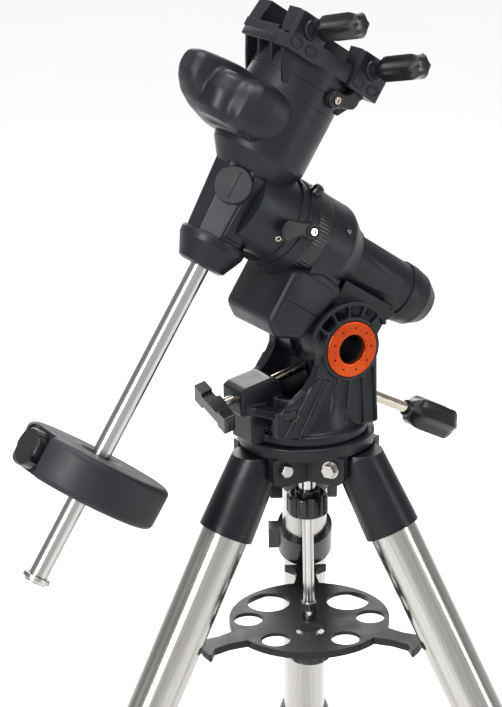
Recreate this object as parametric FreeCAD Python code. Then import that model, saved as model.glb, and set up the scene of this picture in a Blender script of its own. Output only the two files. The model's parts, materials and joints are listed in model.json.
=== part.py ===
# German equatorial mount on a three-legged field tripod.
# Millimetres, +Z up, the polar axis points towards -X and upwards (north), +X is south,
# and the altitude axis lies along Y. Everything is drawn about the centre of the tripod
# head's top face (z = 0 there) and is moved as one at the end, so that the floor is z = 0.
import FreeCAD, Part
import math
import os

V = FreeCAD.Vector
Placement = FreeCAD.Placement
Rotation = FreeCAD.Rotation

# ---------------------------------------------------------------- driving dimensions
HUB_HEIGHT = 720.0            # top of the tripod head above the floor, legs in
FLANGE_R = 72.4               # round plate on top of the tripod head
FLANGE_T = 14.0
LEG_TILT = 28.1               # leg from the vertical, degrees
LEG_RADIUS = 48.9             # leg axis from the tripod axis, at the flange top
LEG_AZIMUTH = {"north": 180.0, "front": 300.0, "rear": 60.0}
TUBE_R = 25.4                 # two-inch leg tube
TUBE_WALL = 1.2
INNER_TUBE_R = 22.2           # telescoping lower tube
PIVOT_R = 51.0                # leg pivot bolt from the tripod axis
PIVOT_Z = -26.0
TRAY_Z = -223.0               # top of the spreader tray
TRAY_R = 88.0
TRAY_ARM_R = 138.3            # reach of the tray's three arms
ROD_R = 6.0
# Eyepiece holes in the tray: radius, distance from the rod, degrees from the rear leg.
TRAY_HOLES = [(23.5, 58.0, -49.5), (23.5, 58.0, 49.5), (16.0, 67.0, -93.5), (16.0, 67.0, 93.5),
              (16.0, 67.0, -146.0), (16.0, 67.0, 146.0), (16.0, 33.5, 180.0)]

LATITUDE = 34.0               # polar axis above the horizon at rest
ALT_X, ALT_Z = 22.0, 98.0     # altitude axis
RA_OFFSET = 80.0              # polar axis above the altitude axis
RA_TO_DEC = 176.0             # along the polar axis, to the declination axis
FORK_IN, FORK_OUT = 40.0, 54.0  # inner and outer faces of the two fork plates
EAR_R = 34.3
ARCH_R, ARCH_IN = 50.0, 47.0  # spoked arch over each ear, and its inner face
ALT_SHAFT_R = 24.0
HEAD_R = 50.0                 # large end of both axis housings
BAR_R = 10.0                  # counterweight bar
BAR_END = 430.0               # bar's lower end below the declination axis
WEIGHT_R, WEIGHT_T = 79.5, 45.0
WEIGHT_AT = 316.0             # middle of the counterweight below the axis crossing
GAP = 0.3                     # running gap between faces that move past each other
FIT = 0.05                    # radial clearance of a running fit
FORK_BOLT_R = 5.0             # latitude screws


# ---------------------------------------------------------------- shape helpers
def cyl(radius, length, base=(0, 0, 0), axis=(0, 0, 1)):
    return Part.makeCylinder(radius, length, V(*base), V(*axis))


def ring(outer, inner, length, base=(0, 0, 0), axis=(0, 0, 1)):
    return cyl(outer, length, base, axis).cut(cyl(inner, length, base, axis))


def block(x0, x1, y0, y1, z0, z1):
    return Part.makeBox(x1 - x0, y1 - y0, z1 - z0, V(x0, y0, z0))


def cone(r0, r1, length, base=(0, 0, 0), axis=(0, 0, 1)):
    return Part.makeCone(r0, r1, length, V(*base), V(*axis))


def lathe(profile):
    """Solid of revolution about Z from (radius, z) points."""
    wire = Part.makePolygon([V(r, 0, z) for r, z in profile] + [V(profile[0][0], 0, profile[0][1])])
    return Part.Face(wire).revolve(V(0, 0, 0), V(0, 0, 1), 360)


def prism_y(points, y0, y1):
    """Polygon in the XZ plane, carried from y0 to y1."""
    wire = Part.makePolygon([V(x, y0, z) for x, z in points] + [V(points[0][0], y0, points[0][1])])
    return Part.Face(wire).extrude(V(0, y1 - y0, 0))


def prism_z(points, z0, z1):
    """Polygon in the XY plane, carried from z0 to z1."""
    wire = Part.makePolygon([V(x, y, z0) for x, y in points] + [V(points[0][0], points[0][1], z0)])
    return Part.Face(wire).extrude(V(0, 0, z1 - z0))


def regular(count, radius, turn=0.0):
    """Corners of a regular polygon, or evenly spaced points round a circle."""
    angles = [math.radians(turn + 360.0 * i / count) for i in range(count)]
    return [(radius * math.cos(angle), radius * math.sin(angle)) for angle in angles]


def hexagon(radius, length, z0=0.0, turn=0.0):
    return prism_z(regular(6, radius, turn), z0, z0 + length)


def rounded(shape, radius, pick=None):
    """Fillets the picked edges, or all of them, and keeps the sharp shape if that fails."""
    edges = [e for e in shape.Edges if pick is None or pick(e)]
    try:
        result = shape.makeFillet(radius, edges)
    except Exception:
        return shape
    return result if result.isValid() and result.Volume > 0 else shape


def union(shapes):
    result = shapes[0].multiFuse(list(shapes[1:])) if len(shapes) > 1 else shapes[0]
    return result.removeSplitter()


def frame(origin, x_axis, z_axis):
    """Placement whose local X and Z point along the two given directions."""
    z_dir = V(*z_axis).normalize()
    y_dir = z_dir.cross(V(*x_axis)).normalize()
    x_dir = y_dir.cross(z_dir)
    turn = Rotation(x_dir, y_dir, z_dir, "ZXY")
    return Placement(V(*origin), turn)


def put(shape, where):
    moved = shape.copy()
    moved.Placement = where.multiply(moved.Placement)
    return moved


def lobed_knob(radius, height, lobes, z0=0.0):
    """Hand knob about Z with scallops cut between its lobes."""
    body = rounded(cyl(radius, height, (0, 0, z0)), height * 0.18)
    scallops = []
    for x, y in regular(lobes, radius * 1.16, 180.0 / lobes):
        scallops.append(cyl(radius * 0.30, height + 2, (x, y, z0 - 1)))
    return body.cut(Part.makeCompound(scallops))


def hex_grip(radius, length, z0=0.0):
    """Long six-lobed grip about Z: waisted at its foot, domed at its end."""
    end = z0 + length
    blank = lathe([(0, z0), (radius * 0.55, z0), (radius, z0 + length * 0.2), (radius, z0 + length * 0.82),
                   (radius * 0.78, z0 + length * 0.96), (radius * 0.4, end), (0, end)])
    flutes = []
    for x, y in regular(6, radius * 1.42):
        flutes.append(cyl(radius * 0.58, length, (x, y, z0 + length * 0.16)))
    return blank.cut(Part.makeCompound(flutes))


# ---------------------------------------------------------------- axes of the head
SIN_LAT, COS_LAT = math.sin(math.radians(LATITUDE)), math.cos(math.radians(LATITUDE))
POLE = V(-COS_LAT, 0, SIN_LAT)
DEC_UP = V(SIN_LAT, 0, COS_LAT)
ALT = V(ALT_X, 0, ALT_Z)
RA_FOOT = ALT + DEC_UP * RA_OFFSET
CROSSING = RA_FOOT + POLE * RA_TO_DEC
RA = frame(RA_FOOT, DEC_UP, POLE)            # local Z along the pole, local X = DEC_UP
DEC = frame(CROSSING, POLE * -1, DEC_UP)     # local Z along DEC_UP, local X = away from the pole
ALT_FRAME = frame(ALT, (1, 0, 0), (0, 0, 1))

nodes = {}


# ---------------------------------------------------------------- tripod head
def tripod_hub():
    plate = rounded(cyl(FLANGE_R, FLANGE_T, (0, 0, -FLANGE_T)), 2.0)
    core = cyl(25, 34, (0, 0, -47))
    ears = []
    for azimuth in LEG_AZIMUTH.values():
        for side in (-1, 1):
            ear = block(14, 66, side * 36.5 - 5, side * 36.5 + 5, -44, -FLANGE_T + 1)
            ear = rounded(ear, 12, lambda e: e.CenterOfMass.x > 65 and e.CenterOfMass.z < -43)
            ear = ear.cut(cyl(4.05, 60, (PIVOT_R, side * 36.5 - 30, PIVOT_Z), (0, 1, 0)))
            ear.rotate(V(0, 0, 0), V(0, 0, 1), azimuth)
            ears.append(ear)
    body = union([plate, core] + ears)
    body = body.cut(cyl(ROD_R + 0.2, 80, (0, 0, -60)))
    body = body.cut(cyl(5.0, 9, (-60, 0, -9)))
    for azimuth in LEG_AZIMUTH.values():
        bore = cyl(4.05, 110, (PIVOT_R, -55, PIVOT_Z), (0, 1, 0))
        bore.rotate(V(0, 0, 0), V(0, 0, 1), azimuth)
        body = body.cut(bore)
    return body


def pivot_bolts():
    pieces = []
    for azimuth in LEG_AZIMUTH.values():
        turn = frame((PIVOT_R, 0, PIVOT_Z), (1, 0, 0), (0, 1, 0))
        shank = cyl(4.0, 93, (0, 0, -49.5))
        head = hexagon(7.5, 5.5, 41.6).common(cone(11, 5.5, 5.5, (0, 0, 41.6)))
        bolt = put(union([shank, head]), turn)
        nut = union([cyl(9.5, 1.6, (0, 0, -43.2)), hexagon(7.5, 6.4, -49.5)])
        nut = put(nut.cut(cyl(4.0, 20, (0, 0, -55))), turn)
        for piece in (bolt, nut):
            piece.rotate(V(0, 0, 0), V(0, 0, 1), azimuth)
            pieces.append(piece)
    return Part.makeCompound(pieces)


def mounting_knob():
    knob = lobed_knob(22.5, 24, 8, -100)
    return union([knob, cyl(13, 5, (0, 0, -76.2))]).cut(cyl(ROD_R, 60, (0, 0, -110)))


nodes["tripod_hub"] = tripod_hub()
nodes["alignment_peg"] = rounded(cyl(5.0, 34, (-60, 0, -9)), 1.2, lambda e: e.CenterOfMass.z > 20)
nodes["leg_pivot_bolts"] = pivot_bolts()
nodes["centre_rod"] = union([cyl(ROD_R, 296, (0, 0, -278)), hexagon(9.0, 9, TRAY_Z + 9),
                             cyl(8.0, 7, (0, 0, TRAY_Z + 2)), cyl(9.0, 23, (0, 0, -71))])
nodes["mounting_knob"] = mounting_knob()


# ---------------------------------------------------------------- spreader tray
def spreader_tray():
    plate = cyl(TRAY_R, 4, (0, 0, TRAY_Z - 4))
    rim = ring(TRAY_R, TRAY_R - 4, 8, (0, 0, TRAY_Z - 8))
    parts = [plate, rim, cyl(15, 10, (0, 0, TRAY_Z - 12))]
    for azimuth in LEG_AZIMUTH.values():
        arm = prism_z([(70, -17), (TRAY_R + 20, -11), (TRAY_ARM_R - 12, -13), (TRAY_ARM_R - 2, -24),
                       (TRAY_ARM_R, -24), (TRAY_ARM_R, 24), (TRAY_ARM_R - 2, 24), (TRAY_ARM_R - 12, 13),
                       (TRAY_R + 20, 11), (70, 17)], TRAY_Z - 8, TRAY_Z)
        arm = arm.cut(cyl(27.0, 80, (TRAY_ARM_R + 25.6, 0, TRAY_Z - 40)))
        arm.rotate(V(0, 0, 0), V(0, 0, 1), azimuth)
        parts.append(arm)
    body = union(parts)
    holes = [cyl(ROD_R + FIT, 40, (0, 0, TRAY_Z - 20))]
    for radius, at, spread in TRAY_HOLES:
        angle = math.radians(LEG_AZIMUTH["rear"] + spread)
        holes.append(cyl(radius, 20, (at * math.cos(angle), at * math.sin(angle), TRAY_Z - 14)))
    return body.cut(Part.makeCompound(holes))


def tray_knob():
    knob = lobed_knob(22.5, 21, 8, TRAY_Z - 50)
    return union([knob, cyl(9.5, 18, (0, 0, TRAY_Z - 30))]).cut(cyl(ROD_R + FIT, 80, (0, 0, TRAY_Z - 70)))


nodes["spreader_tray"] = spreader_tray()
nodes["tray_knob"] = tray_knob()

# ---------------------------------------------------------------- legs
SIN_TILT, COS_TILT = math.sin(math.radians(LEG_TILT)), math.cos(math.radians(LEG_TILT))
LEG_LENGTH = HUB_HEIGHT / COS_TILT           # along the leg, from flange level to the floor
LEG = frame((LEG_RADIUS, 0, 0), (COS_TILT, 0, SIN_TILT), (SIN_TILT, 0, -COS_TILT))
CAP_TOP, CAP_END = 18.0, 113.0
TUBE_TOP, TUBE_END = 46.0, 600.0
CLAMP_TOP, CLAMP_END = 566.0, 640.0
EXT_TOP, EXT_END = 160.0, 800.0
KNOB_AT = 620.0


def leg_cap():
    body = lathe([(0, CAP_TOP), (18, CAP_TOP), (24, CAP_TOP + 3), (27, CAP_TOP + 10), (29.3, CAP_END - 20),
                  (29.8, CAP_END - 1), (29.2, CAP_END), (0, CAP_END)])
    body = body.cut(cyl(TUBE_R, 200, (0, 0, TUBE_TOP)))
    body = put(body, LEG)
    body = body.cut(block(-100, 200, -60, 60, -FLANGE_T - 1.5, 60))
    body = body.cut(cyl(25 + 3.5, 70, (0, 0, -60)))
    body = body.cut(cyl(4.0 + FIT, 120, (PIVOT_R, -60, PIVOT_Z), (0, 1, 0)))
    return body


def leg_clamp():
    body = lathe([(0, CLAMP_TOP), (28.2, CLAMP_TOP), (31.5, CLAMP_TOP + 8), (31.5, CLAMP_END - 10),
                  (28, CLAMP_END), (0, CLAMP_END)])
    boss = block(20, 41, -13, 13, KNOB_AT - 13, KNOB_AT + 13)
    boss = rounded(boss, 6, lambda e: e.CenterOfMass.x > 40.5)
    body = union([body, boss])
    body = body.cut(cyl(TUBE_R, TUBE_END - CLAMP_TOP + 5, (0, 0, CLAMP_TOP - 5)))
    body = body.cut(cyl(INNER_TUBE_R + FIT, 100, (0, 0, CLAMP_TOP)))
    return body.cut(cyl(4.1, 30, (24, 0, KNOB_AT), (1, 0, 0)))


def clamp_knob():
    turn = frame((0, 0, KNOB_AT), (0, 0, -1), (1, 0, 0))
    return put(union([lobed_knob(17, 14, 6, 45), cyl(9, 5, (0, 0, 41.3)), cyl(4.0, 16, (0, 0, 27))]), turn)


def leg_extension():
    return ring(INNER_TUBE_R, INNER_TUBE_R - 1.5, EXT_END - EXT_TOP, (0, 0, EXT_TOP))


def leg_foot():
    """Rubber boot: its flat sole lies on the floor."""
    boot = lathe([(0, EXT_END - 34), (INNER_TUBE_R + 2.4, EXT_END - 34), (INNER_TUBE_R + 3.4, EXT_END - 28),
                  (INNER_TUBE_R + 4.2, EXT_END), (INNER_TUBE_R + 1.5, EXT_END + 16), (12, EXT_END + 44),
                  (0, EXT_END + 44)])
    boot = boot.cut(ring(INNER_TUBE_R, INNER_TUBE_R - 1.5, 60, (0, 0, EXT_END - 60)))
    boot = put(boot, LEG)
    return boot.common(block(0, 900, -100, 100, -HUB_HEIGHT, 0))


for name, azimuth in LEG_AZIMUTH.items():
    pieces = {"leg_cap_": leg_cap(), "leg_foot_": leg_foot(),
              "leg_tube_": put(ring(TUBE_R, TUBE_R - TUBE_WALL, TUBE_END - TUBE_TOP, (0, 0, TUBE_TOP)), LEG),
              "leg_clamp_": put(leg_clamp(), LEG), "clamp_knob_": put(clamp_knob(), LEG),
              "leg_extension_": put(leg_extension(), LEG)}
    for prefix, shape in pieces.items():
        shape.rotate(V(0, 0, 0), V(0, 0, 1), azimuth)
        nodes[prefix + name] = shape


# ---------------------------------------------------------------- hand-controller holder, rear leg
def controller_holder():
    band = ring(TUBE_R + 6, TUBE_R, 38, (0, 0, 196))
    band = union([band, block(-6, 7, -42, -26, 198, 232)]).cut(cyl(TUBE_R, 60, (0, 0, 190)))
    web = block(TUBE_R + 2, TUBE_R + 12, -12, 12, 150, 232).cut(cyl(TUBE_R + 2, 100, (0, 0, 140)))
    band = union([band, web]).cut(cyl(TUBE_R, 120, (0, 0, 140)))
    cup = block(TUBE_R + 12, TUBE_R + 50, -39, 39, 132, 200)
    cup = rounded(cup, 8, lambda e: abs(e.CenterOfMass.x - TUBE_R - 50) < 1 or e.CenterOfMass.z > 199)
    cup = cup.cut(block(TUBE_R + 16, TUBE_R + 46, -35, 35, 120, 194))
    cup = cup.cut(block(TUBE_R + 20, TUBE_R + 60, -20, 20, 120, 176))
    holder = put(union([band, cup]), LEG)
    holder.rotate(V(0, 0, 0), V(0, 0, 1), LEG_AZIMUTH["rear"])
    return holder


nodes["controller_holder"] = controller_holder()


# ---------------------------------------------------------------- latitude screws
# The toe under the polar housing turns with it about the altitude axis, and both latitude screws push
# on it. Each face of the toe is an involute, so a screw moves in step with the latitude.
FRONT_DIR = V(0.974, 0, 0.225).normalize()   # towards the toe
REAR_DIR = V(-0.88, 0, 0.475).normalize()
FRONT_ARM, REAR_ARM = 22.8, 40.3             # screws' distances from the altitude axis
FRONT_REACH, REAR_REACH = 26.5, 24.0         # from the toe's face to the line's nearest point to the axis
FRONT_FOOT = V(FRONT_DIR.z, 0, -FRONT_DIR.x) * FRONT_ARM
REAR_FOOT = V(-REAR_DIR.z, 0, REAR_DIR.x) * REAR_ARM
TIP_GAP = 0.4


def toe_face(foot, direction, reach, arm):
    """Points of one face, about the altitude axis: where the screw's tip is after each small turn."""
    points = []
    for step in range(-4, 5):
        turn = math.radians(7.5 * step)
        point = foot - direction * (reach + arm * turn)
        points.append(Rotation(V(0, 1, 0), -math.degrees(turn)).multVec(point))
    return points


FRONT_TIP = ALT + FRONT_FOOT - FRONT_DIR * (FRONT_REACH + TIP_GAP)
REAR_TIP = ALT + REAR_FOOT - REAR_DIR * (REAR_REACH + TIP_GAP)
FRONT_LINE = frame(FRONT_TIP, (0, 1, 0), FRONT_DIR * -1)   # local Z runs from the tip to the handle
REAR_LINE = frame(REAR_TIP, (0, 1, 0), REAR_DIR * -1)
FRONT_HANDLE_AT = 108.0                       # handle's near end from the tip
REAR_KNOB_AT = 118.0


def latitude_screws():
    tip = cone(FORK_BOLT_R / 2, FORK_BOLT_R, FORK_BOLT_R / 2)
    front = union([tip, cyl(FORK_BOLT_R, FRONT_HANDLE_AT + 3.5, (0, 0, 2.5))])
    rear = union([tip, cyl(FORK_BOLT_R, REAR_KNOB_AT + 9.5, (0, 0, 2.5))])
    bar = block(-11, 11, -31, 31, FRONT_HANDLE_AT, FRONT_HANDLE_AT + 13)
    bar = rounded(bar, 3, lambda e: abs(abs(e.CenterOfMass.y) - 31) < 1)
    bar = union([bar, cone(9, 10.5, 6, (0, 0, FRONT_HANDLE_AT - 4))])
    waist = union([block(x, x + 23, -15, 15, FRONT_HANDLE_AT - 20, FRONT_HANDLE_AT + 30) for x in (-30, 7)])
    bar = bar.cut(waist).cut(front)
    bar.rotate(V(0, 0, 0), V(0, 0, 1), 90 - 23)
    knob = hex_grip(19, 66, REAR_KNOB_AT).cut(cyl(FORK_BOLT_R, REAR_KNOB_AT + 12))
    return [put(front, FRONT_LINE), put(bar, FRONT_LINE), put(rear, REAR_LINE), put(knob, REAR_LINE)]


(nodes["front_latitude_screw"], nodes["front_latitude_handle"],
 nodes["rear_latitude_screw"], nodes["rear_latitude_knob"]) = latitude_screws()

# ---------------------------------------------------------------- azimuth base with its fork
BASE_R = 66.0
PLATE_EDGE = 56.5                            # south edge of the fork plates


def fork_outline():
    """South edge, round ear, then the concave north edge down to the box."""
    south = Part.LineSegment(V(PLATE_EDGE, 0, 10), V(PLATE_EDGE - 0.2, 0, ALT_Z))
    top = ALT + V(0, 0, EAR_R)
    ear = Part.Arc(V(PLATE_EDGE - 0.2, 0, ALT_Z), top, V(ALT_X - EAR_R, 0, ALT_Z - 2))
    sweep = Part.Arc(V(ALT_X - EAR_R, 0, ALT_Z - 2), V(-22, 0, 62), V(-64, 0, 44))
    north = Part.LineSegment(V(-64, 0, 44), V(-64, 0, 14))
    toe = Part.LineSegment(V(-64, 0, 14), V(-40, 0, 10))
    foot = Part.LineSegment(V(-40, 0, 10), V(PLATE_EDGE, 0, 10))
    edges = [curve.toShape() for curve in (south, ear, sweep, north, toe, foot)]
    return Part.Face(Part.Wire(Part.__sortEdges__(edges)))


def fork_plate(side):
    inner, outer = side * FORK_IN, side * FORK_OUT
    plate = fork_outline()
    plate.translate(V(0, inner, 0))
    plate = plate.extrude(V(0, outer - inner, 0))
    pocket_depth = side * (FORK_OUT - 7)
    pockets = [[(-54, 22), (-54, 36), (-30, 44), (-14, 60), (-6, 60), (-22, 22)],
               [(-14, 22), (4, 56), (17, 56), (17, 22)],
               [(22, 22), (22, 56), (42, 60), (51, 66), (51, 22)]]
    for outline in pockets:
        plate = plate.cut(prism_y(outline, pocket_depth, outer + side))
    boss = cyl(EAR_R, 3 + FORK_OUT - FORK_IN, (ALT_X, side * FORK_IN, ALT_Z), (0, side, 0))
    relief = ring(EAR_R - 2.4, 32.2, 9, (ALT_X, side * (FORK_OUT - 5), ALT_Z), (0, side, 0))
    arch = ring(ARCH_R, ARCH_R - 5.5, 7, (ALT_X, side * ARCH_IN, ALT_Z), (0, side, 0))
    arch = arch.common(block(-60, 60, -60, 60, ALT_Z + 12, ALT_Z + 60))
    spokes = []
    for lean in (-38, -13, 13, 38):
        near, far = sorted((side * ARCH_IN, side * FORK_OUT))
        spoke = block(-1.5, 1.5, near, far, 31, 47)
        spoke.rotate(V(0, 0, 0), V(0, 1, 0), lean)
        spoke.translate(ALT)
        spokes.append(spoke)
    return union([plate, boss, arch] + spokes), relief


def azimuth_base():
    """Turning base: round foot, two fork plates, and the north box that holds the front screw."""
    foot = rounded(cyl(BASE_R, 11, (0, 0, GAP)), 2.5, lambda e: e.CenterOfMass.z > 9)
    step = cyl(BASE_R - 6, 16, (0, 0, GAP))
    near, near_relief = fork_plate(-1)
    far, far_relief = fork_plate(1)
    skirt = cyl(BASE_R - 1, 60, (0, 0, 5)).common(
        union([block(-64, PLATE_EDGE, -57, -FORK_IN, 5, 34), block(-64, PLATE_EDGE, FORK_IN, 57, 5, 34)]))
    bracket = [(-90, 34), (-90, 60), (-84, 64), (-52, 70), (-40, 64), (-40, 20), (-60, 34)]
    box = union([block(-78, -44, -21, 21, GAP, 38), prism_y(bracket, -19, 19)])
    box = rounded(box, 2.0, lambda e: abs(e.CenterOfMass.x + 78) < 0.5 and abs(e.CenterOfMass.y) > 20.5)
    webs = []
    for side in (-1, 1):
        shelf = [(-88, 12), (-60, 19), (-46, 54), (-64, 54), (-76, 19)]
        rib = [(-64, 54), (-40, 54), (-40, 18), (-60, 18)]
        webs.append(prism_z([(x, side * y) for x, y in shelf], 34, 44))
        webs.append(prism_z([(x, side * y) for x, y in rib], 12, 40))
    bridge = block(34, PLATE_EDGE, -FORK_IN - 1, FORK_IN + 1, 10, 30)
    body = union([foot, step, near, far, skirt, box, bridge] + webs)
    body = body.cut(near_relief).cut(far_relief)
    body = body.cut(cyl(ALT_SHAFT_R, 130, (ALT_X, -65, ALT_Z), (0, 1, 0)))
    for side in (-1, 1):
        body = body.cut(cyl(30.2, 8, (ALT_X, side * (FORK_OUT - 1.5), ALT_Z), (0, side, 0)))
    slot = union([cyl(5.8, 30, (-60, y, -1)) for y in (-8.5, 8.5)] + [block(-65.8, -54.2, -8.5, 8.5, -1, 29)])
    body = body.cut(slot)
    body = body.cut(cyl(ROD_R + 0.2, 40, (0, 0, -1)))
    body = body.cut(cyl(4.0 + FIT, 50, (-60, -25, 14), (0, 1, 0)))
    for line in (FRONT_LINE, REAR_LINE):
        body = body.cut(put(cyl(FORK_BOLT_R + FIT, 200), line))
    return body


def azimuth_screws():
    screws = []
    for side in (-1, 1):
        screw = cyl(4.0, 11, (-60, side * 5.4, 14), (0, side, 0))
        socket = prism_z(regular(6, 2.6), 0, 5)
        screws.append(screw.cut(put(socket, frame((-60, side * 11.5, 14), (1, 0, 0), (0, side, 0)))))
    return Part.makeCompound(screws)


def altitude_rings():
    rings = []
    for side in (-1, 1):
        disc = ring(30.0, 15.5, 6.0, (0, 0, 0))
        disc = rounded(disc, 1.6, lambda e: e.CenterOfMass.z > 5.5)
        dimples = [cyl(1.2, 3, (x, y, 4)) for x, y in regular(9, 22.8)]
        disc = disc.cut(Part.makeCompound(dimples))
        rings.append(put(disc, frame((ALT_X, side * (FORK_OUT - 1.5), ALT_Z), (1, 0, 0), (0, side, 0))))
    return Part.makeCompound(rings)


nodes["azimuth_base"] = azimuth_base()
nodes["azimuth_screws"] = azimuth_screws()
nodes["altitude_rings"] = altitude_rings()
nodes["altitude_shaft"] = ring(ALT_SHAFT_R, 15.5, 2 * FORK_OUT - 3,
                               (ALT_X, -FORK_OUT + 1.5, ALT_Z), (0, 1, 0))

# ---------------------------------------------------------------- polar axis, local Z along the pole
RA_SEAM = -55.0
RA_SHOULDER = 50.0
RA_BODY_END = 83.0                           # then the clutch ring and the declination block
RA_CLUTCH_END = 118.0
SHAFT_R = 16.0
WHEEL_R = 40.0                               # worm wheels
WHEEL_TEETH = 144


def housing_shell(seam, shoulder, head_end, tail_r):
    """Outside of an axis housing: round tail, shoulder, round head."""
    return lathe([(0, seam), (tail_r, seam), (tail_r + 5, shoulder - 22), (HEAD_R - 1, shoulder),
                  (HEAD_R, shoulder + 4), (HEAD_R, head_end), (0, head_end)])


def worm_pair(wheel_z, worm_x):
    """A worm wheel about local Z at wheel_z, and its worm along Y at x = worm_x."""
    wheel = cyl(WHEEL_R, 9, (0, 0, wheel_z - 4.5)).cut(cyl(SHAFT_R + FIT, 30, (0, 0, wheel_z - 15)))
    teeth = []
    for x, y in regular(WHEEL_TEETH, WHEEL_R + 0.1):
        teeth.append(cyl(0.55, 12, (x, y, wheel_z - 6)))
    wheel = wheel.cut(Part.makeCompound(teeth))
    wheel = wheel.cut(ring(WHEEL_R - 8, 22, 4, (0, 0, wheel_z + 1.5)))
    spindle = cyl(3.4, 62, (worm_x, -34, wheel_z), (0, 1, 0))
    worm = union([spindle, cyl(4.9, 26, (worm_x, -13, wheel_z), (0, 1, 0))])
    pitch = 2 * math.pi * WHEEL_R / WHEEL_TEETH
    grooves = [ring(7, 4.2, 0.8, (worm_x, -12 + pitch * i, wheel_z), (0, 1, 0)) for i in range(14)]
    return wheel, worm.cut(Part.makeCompound(grooves))


def ra_housing():
    """Polar axis housing with the lug it swings on, its worm box and the motor cover's seat."""
    body = housing_shell(RA_SEAM, RA_SHOULDER, RA_BODY_END, 31.0)
    flat = block(30, 60, -60, 60, RA_SEAM - 1, RA_SHOULDER - 25)
    body = body.cut(flat)
    neck = prism_y([(-20, -34), (-20, 34), (-RA_OFFSET, EAR_R), (-RA_OFFSET, -EAR_R)], -39, 39)
    cheeks = [cyl(33.0, 26, (-RA_OFFSET, y, 0), (0, 1, 0)) for y in (-39, 13)]
    lug = union(cheeks + [cyl(26.5, 78, (-RA_OFFSET, -39, 0), (0, 1, 0))])
    wedge = prism_y([(-24, -50), (-24, 60), (-46, 60), (-62, 28), (-62, -26)], -30, 30)
    seat = block(-52, -24, -44, 44, 44, RA_BODY_END)
    body = union([body, neck, lug, wedge, seat])
    inside = union([cyl(22, 300, (0, 0, -100)), cyl(44, 60, (0, 0, 56))])
    body = body.cut(inside)
    body = body.cut(block(-42, -30, -40, 40, 62, 90))
    body = body.cut(cyl(ALT_SHAFT_R + FIT, 100, (-RA_OFFSET, -50, 0), (0, 1, 0)))
    return body


def ra_toe():
    """Toe under the lug, in the upright frame, with its root inside the lug."""
    front = toe_face(FRONT_FOOT, FRONT_DIR, FRONT_REACH, FRONT_ARM)
    rear = toe_face(REAR_FOOT, REAR_DIR, REAR_REACH, -REAR_ARM)
    outline = [(-16.5, -19.4)] + [(p.x, p.z) for p in front + rear] + [(6.0, -25.4)]
    toe = prism_y(outline, -12, 12).cut(cyl(ALT_SHAFT_R + FIT, 30, (0, -15, 0), (0, 1, 0)))
    return put(toe, ALT_FRAME)


COVER_NEAR, COVER_FAR = -46.0, 46.0


def ra_motor_cover():
    """Hollow cover over the polar axis motor, on the underside of the housing."""
    outline = [(-24, 66), (-27, 39), (-39, 33), (-97, 52), (-107, 82), (-94, 102), (-36, 102)]
    body = prism_y(outline, COVER_NEAR, COVER_FAR)
    body = rounded(body, 9, lambda e: abs(e.BoundBox.YLength) > 50 and e.CenterOfMass.x < -60)
    body = rounded(body, 5, lambda e: abs(abs(e.CenterOfMass.y) - COVER_FAR) < 0.5 and e.CenterOfMass.x < -30)
    hollow_outline = [(-30, 62), (-42, 40), (-92, 57), (-101, 82), (-90, 96), (-40, 96)]
    hollow = prism_y(hollow_outline, COVER_NEAR + 3, COVER_FAR - 3)
    head = cyl(HEAD_R + GAP, 80, (0, 0, 44))
    seat = block(-52.1, -20, -44.1, 44.1, 43.9, RA_BODY_END + 20)
    wedge = prism_y([(-20, -50), (-20, 60), (-46.1, 60.1), (-62.1, 28), (-62.1, -26)], -30.1, 30.1)
    lug = cyl(36.0, 100, (-RA_OFFSET, -50, 0), (0, 1, 0))
    return body.cut(hollow).cut(union([head, seat, wedge, lug]))


def motor(middle, along):
    """Small geared servo motor with its gearbox and shaft on one end."""
    can = rounded(cyl(12.0, 34, (0, 0, -12)), 1.5)
    gearbox = rounded(cyl(14.0, 16, (0, 0, -28)), 1.0)
    return put(union([can, gearbox, cyl(2.5, 6, (0, 0, -33))]), frame(middle, (0, 0, 1), along))


RA_LEVER_AT, RA_LEVER_ANGLE = 111.5, -85.0    # along the axis, and round it from local X
DEC_LEVER_AT, DEC_LEVER_ANGLE = 130.0, -72.0


def lever_frame(ring_z, angle, arm_along=(1, 0)):
    """Placement on a head's side: local Z outwards, local Y along the arm (axial, tangential parts)."""
    turn = math.radians(angle)
    normal = V(math.cos(turn), math.sin(turn), 0)
    arm = V(0, 0, 1) * arm_along[0] * -1 + V(-math.sin(turn), math.cos(turn), 0) * arm_along[1] * -1
    return frame(tuple(normal * (HEAD_R + GAP) + V(0, 0, ring_z)), tuple(arm.cross(normal)), tuple(normal))


def lever_screw_hole(ring_z, angle):
    return put(cyl(2.0, 12, (0, 0, -9)), lever_frame(ring_z, angle))


def clutch_lever(ring_z, angle, arm_along):
    """Flat curved lever on the side of a head, and the screw it turns on."""
    hub = cyl(8.3, 6, (0, 0, 0))
    arm = prism_z([(-6, 0), (-4, 14), (-9, 24), (-8, 33), (2, 35), (6, 26), (8, 12), (8, 0)], 1.5, 6.0)
    lever = rounded(union([hub, arm]), 0.8, lambda e: e.CenterOfMass.z > 5.5)
    screw = rounded(cyl(3.6, 2.6, (0, 0, 5.6)), 0.7, lambda e: e.CenterOfMass.z > 7)
    screw = union([screw, cyl(1.95, 12, (0, 0, -6))]).cut(hexagon(1.6, 3, 6.4))
    where = lever_frame(ring_z, angle, arm_along)
    return put(lever.cut(screw), where), put(screw, where)


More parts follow.
